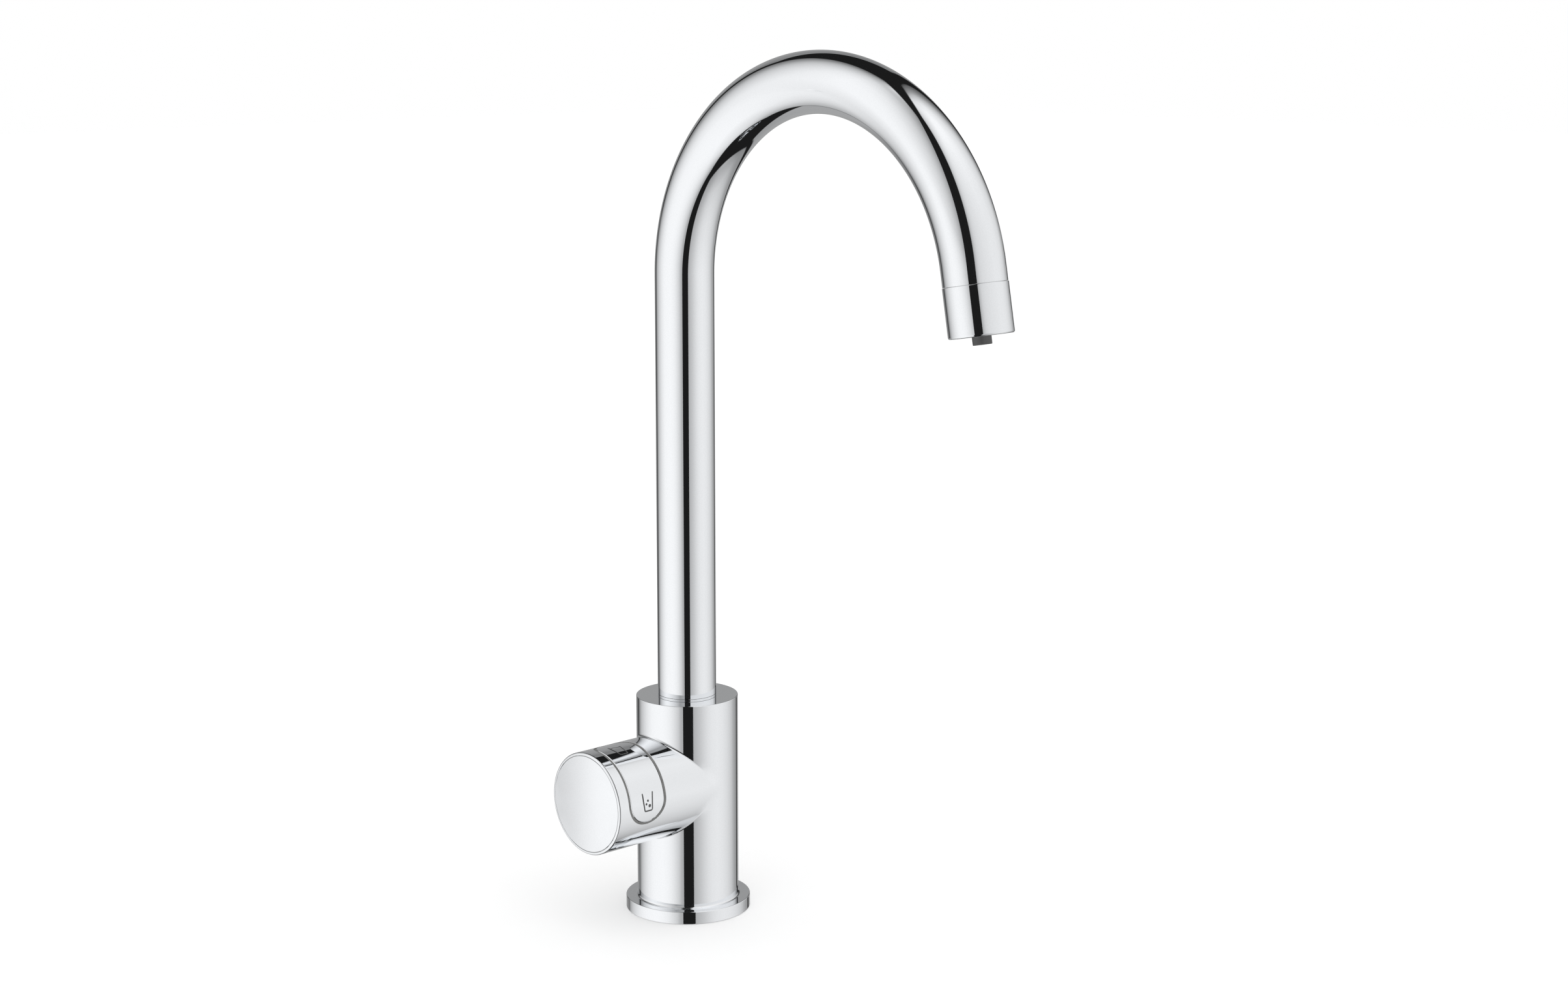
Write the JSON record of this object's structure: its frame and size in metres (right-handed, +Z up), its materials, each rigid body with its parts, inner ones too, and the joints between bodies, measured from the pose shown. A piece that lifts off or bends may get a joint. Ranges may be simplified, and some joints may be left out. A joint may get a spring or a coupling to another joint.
{
  "type": "filtered water kitchen tap",
  "caption": "Filtered water tap: high arched swivel spout on a round body, with a curved rocker push button set in a side housing.",
  "frame": {"origin": "middle of the body's foot, on the plane of the deck that it stands on", "axes": "+Z up along the swivel axis, -Y from the body towards the spout's outlet, -X from the body towards the side housing's end cap"},
  "size_m": [0.0805, 0.1983, 0.3551],
  "materials": {
    "plated_body": "polished",
    "plated_spout": "polished",
    "plated_trim": "polished",
    "seal_rubber": "matt",
    "nozzle_plastic": "matt",
    "turned_brass": "turned",
    "bearing_plastic": "smooth",
    "moulded_plastic": "fine texture",
    "water_hose": "smooth",
    "fibre": "fibrous",
    "steel": "zinc plated",
    "circuit_board": "lacquered",
    "switch_plastic": "smooth"
  },
  "bodies": {
    "base": {"tap_body": "plated_body", "upper_glide_ring": "plated_spout", "end_cap": "plated_trim", "button_seal": "seal_rubber", "base_gasket": "seal_rubber", "water_tube_seal": "seal_rubber", "cap_seal": "seal_rubber", "lead_grommet": "seal_rubber", "inlet_connector": "turned_brass", "switch_holder": "moulded_plastic", "connector_washer": "fibre", "swivel_stop_screw": "steel", "return_springs": "steel", "holder_screws": "steel", "board_screws": "steel", "switch_board": "circuit_board", "tact_switches": "switch_plastic", "lead_socket": "switch_plastic"},
    "spout": {"spout_tube": "plated_spout", "spout_foot": "turned_brass", "lower_glide_ring": "bearing_plastic", "foot_seals": "seal_rubber", "water_tube": "water_hose", "outlet_sleeve": "plated_spout", "outlet_seal": "seal_rubber", "flow_carrier": "moulded_plastic", "nozzle": "nozzle_plastic"},
    "slider": {"button_slider": "bearing_plastic", "rocker_pin": "steel"},
    "button": {"selector_button": "plated_trim", "button_carrier": "moulded_plastic"}
  },
  "joints": [
    {"name": "spout_swivel", "type": "hinge", "parent": "base", "child": "spout", "pos_m": [0, 0, 0.078], "axis": [0, 0, 1], "range_deg": [-75, 75]},
    {"name": "button_press", "type": "slide", "parent": "base", "child": "slider", "axis": [0, 0.7071, -0.7071], "range_m": [0, 0.0005], "stiffness_N_per_m": 1500, "springref_m": -0.0003, "deforming": ["return_springs"]},
    {"name": "button_rock", "type": "hinge", "parent": "slider", "child": "button", "pos_m": [-0.04, -0.0099, 0.0647], "axis": [1, 0, 0], "range_deg": [-1.2, 1.2], "stiffness_Nm_per_rad": 1}
  ]
}
